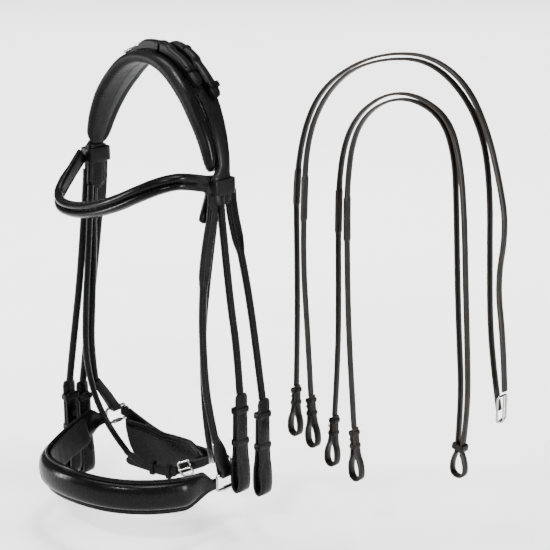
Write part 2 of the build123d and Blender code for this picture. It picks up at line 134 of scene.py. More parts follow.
def map_range(nodes, links, value, low, high, to_low, to_high):
    """A value carried from one range to another."""
    node = nodes.new("ShaderNodeMapRange")
    for key, number in (("From Min", low), ("From Max", high), ("To Min", to_low), ("To Max", to_high)):
        node.inputs[key].default_value = number
    links.new(value, node.inputs["Value"])
    return node.outputs["Result"]


def leather(name, dark, light, rough, grain, depth, specular=0.3, crease=1.0):
    """Leather: two close tones, an uneven gloss, and a pebbled grain over fine creases."""
    material, nodes, links, shader, coords = new_material(name, Specular_IOR_Level=specular)
    tone = noise(nodes, links, coords, TONE_SCALE, 6)
    links.new(ramp(nodes, links, tone, 0.3, 0.75, dark, light), shader.inputs["Base Color"])
    wear = noise(nodes, links, coords, WEAR_SCALE, 5, 0.7)
    links.new(map_range(nodes, links, wear, 0.3, 0.7, rough - 0.05, rough + 0.08), shader.inputs["Roughness"])
    cells = nodes.new("ShaderNodeTexVoronoi")
    cells.inputs["Scale"].default_value = grain
    links.new(coords, cells.inputs["Vector"])
    pebble = nodes.new("ShaderNodeBump")
    pebble.inputs["Strength"].default_value = 0.3 * crease
    pebble.inputs["Distance"].default_value = depth
    links.new(cells.outputs["Distance"], pebble.inputs["Height"])
    creases = nodes.new("ShaderNodeBump")
    creases.inputs["Strength"].default_value = 0.3 * crease
    creases.inputs["Distance"].default_value = depth * 3
    links.new(noise(nodes, links, coords, CREASE_SCALE, 5, 0.6), creases.inputs["Height"])
    links.new(creases.outputs["Normal"], pebble.inputs["Normal"])
    links.new(pebble.outputs["Normal"], shader.inputs["Normal"])
    return material


def metal(name, colour, rough):
    """Polished metal with fine scratches and a little tarnish."""
    material, nodes, links, shader, coords = new_material(name, Metallic=1.0)
    stain = noise(nodes, links, coords, TARNISH_SCALE, 6)
    dull = tuple(0.72 * c for c in colour)
    links.new(ramp(nodes, links, stain, 0.35, 0.6, dull, colour), shader.inputs["Base Color"])
    links.new(map_range(nodes, links, stain, 0.3, 0.7, rough + 0.1, rough), shader.inputs["Roughness"])
    bump = nodes.new("ShaderNodeBump")
    bump.inputs["Strength"].default_value = 0.15
    bump.inputs["Distance"].default_value = 0.0002
    links.new(noise(nodes, links, coords, SCRATCH_SCALE, 3), bump.inputs["Height"])
    links.new(bump.outputs["Normal"], shader.inputs["Normal"])
    return material


GLOSS = leather(
    "glossy_leather", (0.0014, 0.0014, 0.0015), (0.0032, 0.0032, 0.0033),
    rough=0.24, grain=1500, depth=0.00003, specular=0.08, crease=0.2,
)
STRAP = leather(
    "strap_leather", (0.0018, 0.0018, 0.0019), (0.0045, 0.0043, 0.0043),
    rough=0.34, grain=1400, depth=0.00005, specular=0.08, crease=0.6,
)
MATT = leather(
    "matt_leather", (0.0025, 0.0025, 0.0027), (0.008, 0.008, 0.0084),
    rough=0.42, grain=900, depth=0.00016, specular=0.06, crease=2.2,
)
REIN = leather(
    "rein_leather", (0.003, 0.0026, 0.0024), (0.0075, 0.0064, 0.0058),
    rough=0.34, grain=1400, depth=0.00005, specular=0.09, crease=0.6,
)
EDGE = leather(
    "cut_edge", (0.008, 0.0051, 0.0036), (0.022, 0.0142, 0.0100),
    rough=0.55, grain=2200, depth=0.00008, specular=0.15,
)
SIDE = leather(
    "dyed_edge", (0.0022, 0.0021, 0.0021), (0.006, 0.0056, 0.0054),
    rough=0.5, grain=2200, depth=0.00006, specular=0.12,
)
THREAD = leather(
    "thread", (0.005, 0.005, 0.005), (0.016, 0.016, 0.016),
    rough=0.55, grain=3000, depth=0.00006, specular=0.2,
)
STEEL = metal("polished_steel", (0.36, 0.35, 0.34), 0.11)
BRASS = metal("warm_steel", (0.80, 0.70, 0.52), 0.2)


# ------------------------------------------------------------------ shapes

X_AXIS = (1, 0, 0)
Y_AXIS = (0, 1, 0)
Z_AXIS = (0, 0, 1)
# The materials round a flat strap's section: 1 on its cut edges, 0 on its faces.
EDGE_SLOTS = [1] * 2 + [0] * 9 + [1] * 4 + [0] * 9 + [1] * 2
THREAD_RADIUS = 0.3
FINE_THREAD = 0.28


class Shape:
    """Vertices and faces gathered from several sweeps, for one piece."""

    def __init__(self):
        self.verts = []
        self.faces = []
        self.slots = []
        self.count = 0

    def add(self, verts, faces, slot=0):
        self.verts.append(np.asarray(verts, float).reshape(-1, 3))
        self.faces += [tuple(i + self.count for i in face) for face in faces]
        self.slots += [slot] * len(faces) if np.isscalar(slot) else list(slot)
        self.count += len(self.verts[-1])

    def make(self, name, materials, body=None, stands_for=(), sharp=38):
        mesh = bpy.data.meshes.new(name)
        mesh.from_pydata([tuple(v) for v in np.vstack(self.verts)], [], self.faces)
        for material in materials:
            mesh.materials.append(material)
        mesh.polygons.foreach_set("material_index", self.slots)
        work = bmesh.new()
        work.from_mesh(mesh)
        bmesh.ops.recalc_face_normals(work, faces=work.faces)
        work.to_mesh(mesh)
        work.free()
        mesh.shade_smooth()
        mesh.set_sharp_from_angle(angle=math.radians(sharp))
        piece = bpy.data.objects.new(name, mesh)
        bpy.context.scene.collection.objects.link(piece)
        if body:
            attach(piece, body)
        if stands_for:
            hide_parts(*stands_for)
        return piece


def spline(points, step=1.5):
    """Points in metres, evenly spaced, read from the smooth spline through a route given in mm."""
    curve = bpy.data.curves.new("route", "CURVE")
    curve.dimensions = "3D"
    curve.resolution_u = 16
    line = curve.splines.new("NURBS")
    line.points.add(len(points) - 1)
    for place, point in zip(line.points, points):
        place.co = (point[0] * MM, point[1] * MM, point[2] * MM, 1)
    line.order_u = 3
    line.use_endpoint_u = True
    holder = bpy.data.objects.new("route", curve)
    bpy.context.scene.collection.objects.link(holder)
    graph = bpy.context.evaluated_depsgraph_get()
    mesh = bpy.data.meshes.new_from_object(holder.evaluated_get(graph))
    found = np.array([v.co[:] for v in mesh.vertices])
    bpy.data.objects.remove(holder)
    bpy.data.curves.remove(curve)
    bpy.data.meshes.remove(mesh)
    return even(found, step)


def even(points, step):
    """The same line with points so many mm apart."""
    gaps = np.linalg.norm(np.diff(points, axis=0), axis=1)
    along = np.concatenate(([0], np.cumsum(gaps)))
    count = max(2, int(round(along[-1] / (step * MM))) + 1)
    places = np.linspace(0, along[-1], count)
    return np.column_stack([np.interp(places, along, points[:, k]) for k in range(3)])


def loop_points(width, height, corner, count=6):
    """A rounded rectangle, as (x, y) in mm."""
    result = []
    for sx, sy, start in ((1, 1, 0), (-1, 1, 90), (-1, -1, 180), (1, -1, 270)):
        for k in range(count + 1):
            angle = math.radians(start + 90 * k / count)
            x = sx * (width / 2 - corner) + corner * math.cos(angle)
            y = sy * (height / 2 - corner) + corner * math.sin(angle)
            result.append((x, y))
    return np.array(result)


def unit(v):
    """Each vector at a length of 1."""
    return v / np.maximum(np.linalg.norm(v, axis=-1, keepdims=True), 1e-12)


def frames(points, wide, closed=False):
    """Directions across and out from a line: across is close to wide, out is square to both."""
    if closed:
        along = unit(np.roll(points, -1, 0) - np.roll(points, 1, 0))
    else:
        along = unit(np.gradient(points, axis=0))
    wide = np.broadcast_to(np.asarray(wide, float), points.shape)
    out = unit(np.cross(wide, along))
    return unit(np.cross(along, out)), out


def travelled(points):
    """How far along a line each of its points is, in mm."""
    return np.concatenate(([0], np.cumsum(np.linalg.norm(np.diff(points, axis=0), axis=1)))) / MM


def sweep(shape, points, wide, profile, slot=0, closed=False, caps=True):
    """A section, given as (across, out) in mm, carried along a line. It can change with the distance."""
    across, out = frames(points, wide, closed)
    places = travelled(points)
    total = places[-1]
    rings = []
    for i, point in enumerate(points):
        section = profile(places[i], total) if callable(profile) else profile
        section = np.asarray(section) * MM
        rings.append(point + section[:, :1] * across[i] + section[:, 1:2] * out[i])
    size = len(rings[0])
    slots = np.zeros(size, int) + slot if np.isscalar(slot) else np.asarray(slot)
    faces = []
    kinds = []
    last = len(rings) if closed else len(rings) - 1
    for i in range(last):
        a = i * size
        b = ((i + 1) % len(rings)) * size
        for j in range(size):
            k = (j + 1) % size
            faces.append((a + j, a + k, b + k, b + j))
            kinds.append(int(slots[j]))
    verts = np.vstack(rings)
    if caps and not closed:
        ends = [rings[0].mean(0), rings[-1].mean(0)]
        base = len(verts)
        verts = np.vstack([verts, ends])
        for j in range(size):
            k = (j + 1) % size
            faces.append((base, k, j))
            kinds.append(int(slots[0]))
            top = (len(rings) - 1) * size
            faces.append((base + 1, top + j, top + k))
            kinds.append(int(slots[0]))
    shape.add(verts, faces, kinds)


def oval(width, thick, power=2.0, count=24):
    """A section between an ellipse (power 2) and a rectangle (power 8 and more)."""
    angles = np.arange(count) * 2 * math.pi / count + math.pi / count
    c, s = np.cos(angles), np.sin(angles)
    w = width / 2 * np.sign(c) * np.abs(c) ** (2 / power)
    n = thick / 2 * np.sign(s) * np.abs(s) ** (2 / power)
    return np.column_stack([w, n])


def flat(width, thick, crown=0.25, groove=0.3):
    """A flat strap's section: cut edges, a creased line near each edge, and a slight crown."""
    h = width / 2
    t = thick / 2
    face = [
        (h, t - 0.5), (h - 0.35, t - 0.12), (h - 0.8, t), (h - 1.25, t - groove), (h - 1.7, t),
        (h * 0.4, t + crown), (0, t + crown * 1.2),
    ]
    face += [(-w, n) for w, n in reversed(face[:-1])]
    return np.array(face + [(-w, -n) for w, n in face])


def narrowed(section, factor_w, factor_n=1.0):
    """A section scaled across and out."""
    return np.asarray(section) * np.array([factor_w, factor_n])


def rounding(distance, reach):
    """From 0 at a strap's very tip to 1 where its full width begins."""
    if distance >= reach:
        return 1.0
    k = max(0.0, 1 - distance / reach)
    return max(0.08, math.sqrt(max(0.0, 1 - k * k)))


def blendstep(x, low, high):
    """From 0 at low to 1 at high, easing in and out."""
    t = min(1.0, max(0.0, (x - low) / (high - low)))
    return t * t * (3 - 2 * t)


def stitching(shape, points, wide, offset, slot, pitch=3.2, radius=THREAD_RADIUS, skip=3):
    """A row of thread stitches beside a line, at (across, out) from it in mm."""
    across, out = frames(points, wide)
    line = points + across * (offset[0] * MM) + out * (offset[1] * MM)
    line = even(line, pitch)
    _, up = frames(line, wide)
    along = unit(np.gradient(line, axis=0))
    side = np.cross(up, along)
    for i in range(skip, len(line) - skip):
        rings = []
        for step, size in ((-0.38, 0.35), (-0.25, 1), (0.25, 1), (0.38, 0.35)):
            for k in range(6):
                angle = k * math.pi / 3
                rings.append(
                    line[i] + along[i] * step * pitch * MM
                    + side[i] * math.cos(angle) * size * radius * MM
                    + up[i] * math.sin(angle) * size * radius * MM
                )
        faces = [(6 * r + k, 6 * r + (k + 1) % 6, 6 * r + 6 + (k + 1) % 6, 6 * r + 6 + k)
                 for r in range(3) for k in range(6)]
        faces += [tuple(range(5, -1, -1)), tuple(range(18, 24))]
        shape.add(rings, faces, slot)


def sewn(shape, points, wide, sides, faces, slot, **kind):
    """A row of stitches on each side of a strap, on each of its faces."""
    for side in sides:
        for face in faces:
            stitching(shape, points, wide, (side, face), slot, **kind)


def beside(points, wide, offset):
    """A line beside another, at (across, out) in mm."""
    across, out = frames(points, wide)
    return points + across * (offset[0] * MM) + out * (offset[1] * MM)


def band(shape, centre, x_dir, along, inner_w, inner_t, height, wall, slot=0, ribs=0.0, corner=1.6):
    """A leather keeper: a strip of the given height wrapped round a strap that runs along a direction."""
    x = unit(np.array(x_dir, float))
    z = unit(np.array(along, float))
    y = np.cross(z, x)
    ring = loop_points(inner_w + wall, inner_t + wall, corner)
    path = even(np.vstack([ring, ring[:1]]) @ np.array([x, y]) * MM, 1.2)[:-1] + np.array(centre) * MM
    section = flat(height, wall, 0.1, 0.18)

    def ribbed(place, total):
        return section + np.array([0, ribs * abs(math.sin(place * math.pi / 2.4))])

    sweep(shape, path, z, ribbed if ribs else section, slot, closed=True)
    return path, z


# ------------------------------------------------------------------ reins

REIN_Y = 100
REIN_WIDTH = 8
REIN_THICK = 2.6
REIN_FACE = (0.15, 0.22)
LAP_EASE = 4
OUTER_LONG = [
    (135, -382), (136.5, -300), (135, -215), (133, -135), (144, -71), (170, -22), (217, 12.5),
    (269.5, 31), (324, 34), (370, 12.5), (399, -31), (417.5, -84), (428, -128), (420, -188),
    (431, -247), (436, -302),
]
OUTER_SHORT = [
    (159, -388), (153, -312), (145.5, -235), (145.5, -160), (149, -86), (171.5, -33.5),
    (211.5, 5.5), (264, 24.5), (320, 29), (364, 5), (394, -36), (405.5, -90), (409, -160),
    (413, -230), (421, -283), (430, -325),
]
INNER_LONG = [
    (197.5, -402), (201.5, -328), (201, -252), (199, -176), (200, -100), (217.5, -49), (258, -15),
    (303, -7), (350, -26), (367, -70), (375, -130), (380, -200), (386, -272), (390, -340),
    (384.25, -388),
]
INNER_SHORT = [
    (228, -408), (221.5, -342), (216, -271), (213, -200), (211, -125), (219.5, -63), (250, -27),
    (295, -12), (340, -25.5), (359, -63), (364, -120), (368.5, -190), (374, -258), (381, -328),
    (377.75, -388),
]
REIN_FOLD = [(1.8, 0), (1.8, -31), (8.5, -46), (7, -64), (-7, -64), (-8.5, -46), (-1.8, -31), (-1.8, -6)]
HAND_LOOP = [(3.25, 0), (9, -11), (8, -28), (-8, -28), (-9, -11), (-3.25, 0)]
HAND_X = 381
HAND_Z = -389


def rein(name, route, pair, lap_from, lap_to):
    """One rein: strap with a sewn lap, its folded billet, keepers, and the length it is cut to."""
    body = pair + "_reins_body"
    line = spline([(x, REIN_Y, z) for x, z in route])

    def section(place, total):
        rise = blendstep(place, lap_from - LAP_EASE, lap_from)
        lap = rise * (1 - blendstep(place, lap_to, lap_to + LAP_EASE))
        return flat(REIN_WIDTH + 0.6 * lap, REIN_THICK + 1.8 * lap, *REIN_FACE)

    shape = Shape()
    sweep(shape, line, Y_AXIS, section, EDGE_SLOTS)
    places = travelled(line)
    lap = line[(places > lap_from) & (places < lap_to)]
    sewn(shape, lap, Y_AXIS, (2.6, -2.6), (2.4, -2.4), 2)
    strap = shape.make(name + "_strap", [REIN, EDGE, THREAD], body, [name])

    start = np.array([route[0][0], REIN_Y, route[0][1]], float)
    along = unit(np.array([route[1][0] - route[0][0], 0, route[1][1] - route[0][1]], float))
    side = np.cross(np.array(Y_AXIS, float), along)
    fold = Shape()
    places = [start + side * a + along * b for a, b in REIN_FOLD]
    loop = spline([tuple(p) for p in places], 1.0)

    def leaf(place, total):
        return narrowed(flat(10, 2.4, *REIN_FACE), rounding(total - place, 7))

    sweep(fold, loop, Y_AXIS, leaf, EDGE_SLOTS)
    sewn(fold, loop[: len(loop) // 4], Y_AXIS, (3.4, -3.4), (-1.35,), 2)
    fold.make(name + "_folded_billet", [REIN, EDGE, THREAD], body, [name + "_billet"])
    keepers = Shape()
    for drop in (6, 22):
        band(keepers, start - along * drop, side, along, 6.5, 10.3, 5, 1.2)
    keepers.make(name + "_leather_keepers", [REIN], body, [name + "_keepers"])


hand = Shape()
loop_route = [(HAND_X + x, REIN_Y, HAND_Z + z) for x, z in HAND_LOOP]
sweep(hand, spline(loop_route, 1.0), Y_AXIS, flat(REIN_WIDTH, REIN_THICK, *REIN_FACE), EDGE_SLOTS)
hand.make("rein_hand_loop", [REIN, EDGE], "inner_reins_body", ["inner_rein_hand_loop"])
slider = Shape()
band(slider, (381.6, REIN_Y, -382), (1, 0, -0.087), (0.087, 0, 1), 13, 9, 7, 1.2, corner=1)
slider.make("rein_slider", [REIN], "inner_rein_slider_body", ["inner_rein_slider"])

rein("outer_rein_long", OUTER_LONG, "outer", 225, 262)
rein("outer_rein_short", OUTER_SHORT, "outer", 215, 262)
rein("inner_rein_long", INNER_LONG, "inner", 225, 270)
rein("inner_rein_short", INNER_SHORT, "inner", 225, 270)

# ------------------------------------------------------------------ headpiece

ARCH = [(104, -168), (103.5, -116), (89, -72), (63, -32), (24, 0), (-24, 0), (-63, -32), (-89, -72),
        (-103.5, -116), (-104, -168)]
arch = spline([(x, 0, z) for x, z in ARCH], 1.2)
# How far down each layer reaches, in mm.
PADDING_END = -110
STRAP_END = -146
PIPING_END = -104
SEAM_END = -92


def interp(x, table):
    """The value at x in a table of (x, value), in straight lines between its rows."""
    xs, ys = zip(*table)
    return float(np.interp(x, xs, ys))


def arch_part(lowest):
    """The part of the arch above a height in mm."""
    return arch[arch[:, 2] > lowest * MM]


def index_at(place, total, line):
    """Which of a line's points is the one at a distance along it."""
    return int(round(place / total * (len(line) - 1)))


def headpiece_padding():
    """Soft lining below, and a thick front roll with pucker lines beside its piping."""
    line = arch_part(PADDING_END)
    heights = line[:, 2] / MM
    shape = Shape()
    phases = rng.rand(8) * 6.28

    def section(place, total):
        z = heights[index_at(place, total, line)]
        near_end = min(place, total - place)
        fat = rounding(near_end, 16)
        rear = interp(z, [(-110, 18), (-30, 34)]) - 0.5
        front = interp(z, [(-108, -13), (-50, -17.5), (0, -17)])
        ripple = 0.35 * math.sin(place * 1.3 + phases[0]) * (0.6 + 0.4 * math.sin(place * 0.21 + phases[1]))
        ripple += 0.25 * math.sin(place * 2.1 + phases[2] + math.sin(place * 0.37))
        soft = 0.3 * math.sin(place * 0.45 + phases[3])
        x = line[index_at(place, total, line), 0] / MM
        roll = interp(z, [(-110, 13), (-80, 16), (0, 17.5)]) - interp(x, [(-60, 4), (0, 3), (60, 0)])
        wide = interp(z, [(-110, 5.5), (-80, 8.5), (-40, 10), (0, 10)])
        thick = 7.8
        points = [
            (rear, thick * 0.5), (rear - 1.5, 0.6), (rear - 8, 0.1), (rear - 9.5, 0.9), (rear - 11, 0.1),
            (front + 2 * wide, 0.1 + 0.3 * soft), (front + 1.4 * wide, 0.9),
        ]
        for angle in range(250, -31, -14):
            c, s = math.cos(math.radians(angle)), math.sin(math.radians(angle))
            pucker = ripple * (0.5 - 0.5 * s)
            points.append((front + wide + (wide + pucker) * c, roll * 0.5 + (roll * 0.5 + pucker * 0.6) * s))
        edge = front + 2 * wide
        for angle in (180, 130, 80, 30, -20, -60):
            c, s = math.cos(math.radians(angle)), math.sin(math.radians(angle))
            points.append((edge + 0.9 + 1.2 * c, roll * 0.72 + 1.2 * s))
        points += [(edge + 2.2, thick + 1), (edge + 3, thick), (rear - 1, thick), (rear - 0.2, thick * 0.8)]
        points = np.array(points)
        mid = np.array([(front + rear) / 2, 0.5])
        return mid + (points - mid) * np.array([0.4 + 0.6 * fat, 0.12 + 0.88 * fat])

    slots = [0] * 16 + [1] * 19 + [0] * 3
    sweep(shape, line, Y_AXIS, section, slots)
    stitching(shape, line, Y_AXIS, (8, -0.05), 2, skip=8)
    piece = shape.make("headpiece_soft_padding", [MATT, GLOSS, THREAD], "headpiece", ["headpiece_padding"],
                       60)


def headpiece_strap():
    """The crown strap over the padding: two layers with a piped front edge."""
    line = arch_part(STRAP_END)
    heights = line[:, 2] / MM
    shape = Shape()

    def limits(place, total):
        z = heights[index_at(place, total, line)]
        front = interp(z, [(-116, -10.6), (-104, 0), (-60, 5), (-30, 6)])
        rear = interp(z, [(-112, 16.6), (-30, 33.6)])
        return front, rear

    def section(place, total):
        front, rear = limits(place, total)
        fat = rounding(min(place, total - place), 7)
        middle = (front + rear) / 2
        points = flat(rear - front - 1, 4.4, 0.5, 0.35) * np.array([0.5 + 0.5 * fat, 1])
        return points + np.array([middle, 10.7])

    def piping(place, total):
        front, rear = limits(place, total)
        return oval(2.2, 2.2, 2, 10) + np.array([front + 0.8, 12.3])

    sweep(shape, line, Y_AXIS, section, EDGE_SLOTS)
    upper = arch_part(PIPING_END)
    heights_upper = upper[:, 2] / MM

    def seam(place, total):
        z = heights_upper[index_at(place, total, upper)]
        return oval(2.4, 2.4, 2, 10) + np.array([interp(z, [(-104, 1), (-60, 5.6), (-30, 6.6)]), 12.6])

    sweep(shape, upper, Y_AXIS, seam, 0)
    stitching(shape, arch_part(SEAM_END), Y_AXIS, (16, 13.2), 2)
    shape.make("headpiece_crown_strap", [STRAP, SIDE, THREAD], "headpiece", ["headpiece_strap"])


def cheek_tabs():
    """The rolled tongue below the near loop, and the broad end inside the far cheek straps."""
    line = spline([(105.5, -5, -112), (105.5, -7, -130), (105.5, -14, -147), (105.5, -20, -164)])
    tongue = Shape()

    def rolled(place, total):
        points = oval(12, 6.6, 3, 24)
        points[:, 1] -= 1.5 * np.exp(-((points[:, 0] / 1.5) ** 2)) * (points[:, 1] > 0)
        return narrowed(points, rounding(total - place, 6), rounding(total - place, 3))

    sweep(tongue, line, (0, -1, 0), rolled)
    tongue.make("near_cheek_tongue", [GLOSS], "headpiece", ())
    line = spline([(-105.5, 2, -112), (-105.5, 1, -130), (-105.5, 0, -147), (-105.5, -2, -165)])
    end = Shape()

    def leaf(place, total):
        return narrowed(flat(27, 3.0, 0.8, 0.35), max(0.55, rounding(total - place, 9)))

    sweep(end, line, Y_AXIS, leaf, EDGE_SLOTS)
    sewn(end, line, Y_AXIS, (-10.5, 10.5), (-1.9,), 2, radius=FINE_THREAD)
    end.make("far_cheek_end", [GLOSS, SIDE, THREAD], "headpiece", ())


headpiece_padding()
headpiece_strap()
cheek_tabs()

# ------------------------------------------------------------------ poll straps

# Distances out from the arch, in mm: the strap's underside, its stitches, its keepers' middle.
POLL_UNDER = 14.6
POLL_STITCHES = 21.6
POLL_KEEPERS = 18.9


def poll_strap(name, y, start_x, tip_x, keeper_places):
    """A padded strap over the crown with a pointed tip, its keepers, and its turned-back end."""
    line = arch[(arch[:, 0] < tip_x * MM) & (arch[:, 0] > start_x * MM) & (arch[:, 2] > -0.1)][::-1]
    line = line + np.array([0, y * MM, 0])
    shape = Shape()
    wide = (0, -1, 0)

    def section(place, total):
        tip = total - place
        width = 12.8 * rounding(tip, 9)
        lap = blendstep(place, 14, 22) * (1 - blendstep(place, total * 0.5, total * 0.5 + 5))
        thick = 6.6 + 2.6 * lap - 2.2 * (1 - blendstep(place, 12, 18))
        return flat(width, thick, 0.9, 0.5) + np.array([0, POLL_UNDER + thick / 2])

    sweep(shape, line, wide, section, EDGE_SLOTS)
    sewn(shape, line, wide, (4.4, -4.4), (POLL_STITCHES,), 2, skip=4)
    shape.make(name + "_strap_leather", [STRAP, SIDE, THREAD], "headpiece", [name + "_strap"])
    across, out = frames(line, wide)
    along = unit(np.gradient(line, axis=0))
    keepers = Shape()
    for x in keeper_places:
        i = int(np.argmin(np.abs(line[:, 0] / MM - x)))
        centre = (line[i] + out[i] * POLL_KEEPERS * MM) / MM
        band(keepers, centre, across[i], along[i], 13.4, 9.6, 6.5, 1.3)
    keepers.make(name + "_leather_keepers", [GLOSS], "headpiece", [name + "_keepers"])


for name, y, tip_x in (("poll_front", 8, 60), ("poll_rear", 24.5, 70)):
    low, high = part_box(name + "_keepers")
    start_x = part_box(name + "_strap")[0][0] / MM + 1
    poll_strap(name, y, start_x, tip_x, (low[0] / MM + 6, high[0] / MM - 6))

# ------------------------------------------------------------------ browband

BROW = [
    (112, -16, -119), (109, -46, -110), (95, -67, -113), (71, -82, -125), (38, -90, -142), (-6, -92, -157),
    (-50, -87, -165), (-82, -77, -165), (-103, -58, -155), (-112, -17.2, -122),
]


def browband():
    """Two raised ridges on a flat strap that flatten towards the loops, and stitches near its ends."""
    line = spline(BROW, 1.2)
    shape = Shape()

    def section(place, total):
        end = min(place, total - place)
        rise = blendstep(end, 12, 44)
        height = 9.3
        points = [(height, -3.2), (height, -1.0), (height - 0.4, -0.3), (height - 0.9, -0.3)]
        for centre in (4.2, -4.2):
            for angle in range(10, 171, 16):
                c, s = math.cos(math.radians(angle)), math.sin(math.radians(angle))
                points.append((centre + 4.1 * c, -0.6 + (0.9 + 4.4 * rise) * s ** 0.9))
        points += [(-height + 0.9, -0.3), (-height + 0.4, -0.3), (-height, -1.0), (-height, -3.2)]
        points += [(-height + 1, -4.4), (-4, -4.8), (4, -4.8), (height - 1, -4.4)]
        return points

    sweep(shape, line, Z_AXIS, section)
    for side in (7.6, -7.6):
        for part in (line[:24], line[-24:]):
            stitching(shape, part, Z_AXIS, (side, 0.05), 1, radius=FINE_THREAD, skip=2)
    piece = shape.make("browband_leather", [GLOSS, THREAD], "browband_body", ["browband"],
                       50)
    for side, name, ribs in ((1, "near", 0.0), (-1, "far", 0.45)):
        loop = Shape()
        path, z = band(loop, (side * 109.5, 3, -124), X_AXIS, Z_AXIS, 16.2, 29.2, 17.4, 1.9,
                       ribs=ribs, corner=3)
        if not ribs:
            sewn(loop, path, z, (7.0, -7.0), (1.15,), 1, radius=FINE_THREAD, skip=1)
        loop.make(name + "_loop_leather", [STRAP, THREAD], "browband_body", [name + "_browband_loop"])


browband()

# ------------------------------------------------------------------ cheekpieces

BILLET = [(2.1, 0), (2.1, -70), (7, -93), (6.2, -123), (-6.2, -123), (-7, -93), (-2.1, -70), (-2.1, -14)]
KEEPER_DROPS = (20, 60)
ROLLED = 9.0
ROLLED_END = 4.6


def round_strap(shape, line, wide, diameter, flat_from=None, flat_width=16):
    """A rolled strap that starts flat, if flat_from is a length in mm."""

    def section(place, total):
        k = 1.0 if flat_from is None else blendstep(place, flat_from - 14, flat_from + 10)
        width = flat_width + (diameter - flat_width) * k
        thick = ROLLED_END + (diameter - ROLLED_END) * k
        points = oval(width, thick, 5 - 3 * k)
        seam = np.exp(-((points[:, 0] / (width / 2) - 0.62) ** 2) * 40) * (points[:, 1] > 0)
        points[:, 1] -= seam * 0.5
        return points

    sweep(shape, line, wide, section)
    stitching(shape, line, wide, (diameter * 0.36, diameter * 0.36), 1, radius=0.26, skip=6)


def cheekpiece(name, side, route, flat_from, above=18):
    """Rolled strap, doubled billet with sewn edges, two keepers."""
    body = name + "_body"
    wide = (0, -side, 0)
    strap = Shape()
    line = spline([(route[0][0], route[0][1], route[0][2] + above)] + route)
    round_strap(strap, line, wide, ROLLED, flat_from)
    piece = strap.make(name + "_rolled_strap", [GLOSS, THREAD], None, [name + "_cheekpiece"])
    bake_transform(piece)

    x, y, z = route[-1]
    path = spline([(x + side * a, y, z + b) for a, b in BILLET], 1.2)
    fold = Shape()
    section = flat(17.4, 3.3, 0.35, 0.35)

    def leaf(place, total):
        return narrowed(section, min(rounding(total - place, 11), rounding(place + 3, 9)))

    sweep(fold, path, wide, leaf, EDGE_SLOTS)
    half = path[: len(path) * 2 // 5]
    sewn(fold, half, wide, (7.0, -7.0), (-1.75, 1.75), 2, radius=FINE_THREAD)
    fold.make(name + "_folded_billet", [GLOSS, SIDE, THREAD], body, ())
    keepers = Shape()
    for drop in KEEPER_DROPS:
        band(keepers, (x, y, z - drop), X_AXIS, Z_AXIS, 8.2, 18.2, 7, 1.5)
    keepers.make(name + "_leather_keepers", [STRAP], body, [name + "_keepers"])


NEAR_BRIDOON = [(113, 1, -148), (115, 5, -200), (117, 11, -265), (120.5, 17, -320), (122.5, 19, -373)]
NEAR_CURB = [(113, 16, -148), (115, 28, -200), (117, 39, -255), (119, 49, -325), (121, 57, -391)]
FAR_BRIDOON = [(-113, -9, -148), (-116, -15, -215), (-120, -22, -290), (-125, -31, -360), (-127, -38, -412)]
FAR_CURB = [(-113, 15, -148), (-117, 9, -215), (-122, 1, -290), (-127, -10, -370), (-129, -16, -420)]
cheekpiece("near_bridoon", 1, NEAR_BRIDOON, None)
cheekpiece("near_curb", 1, NEAR_CURB, 70)
cheekpiece("far_bridoon", -1, FAR_BRIDOON, None, 6)
cheekpiece("far_curb", -1, FAR_CURB, 70)

# ------------------------------------------------------------------ noseband

NOSE = [
    (105, -30, -487), (99, -60, -486), (80, -93, -484), (51, -120, -482), (14, -136, -480),
    (-28, -139, -481), (-66, -129, -484), (-91, -104, -486), (-103, -70, -481), (-106, -36, -470),
]
NEAR_RING = (104, 13, -487)
FAR_RING = (-104, 15, -466)
ROLLER = 5.6
ROLLER_DROP = 10
ROLLER_BACK = 2


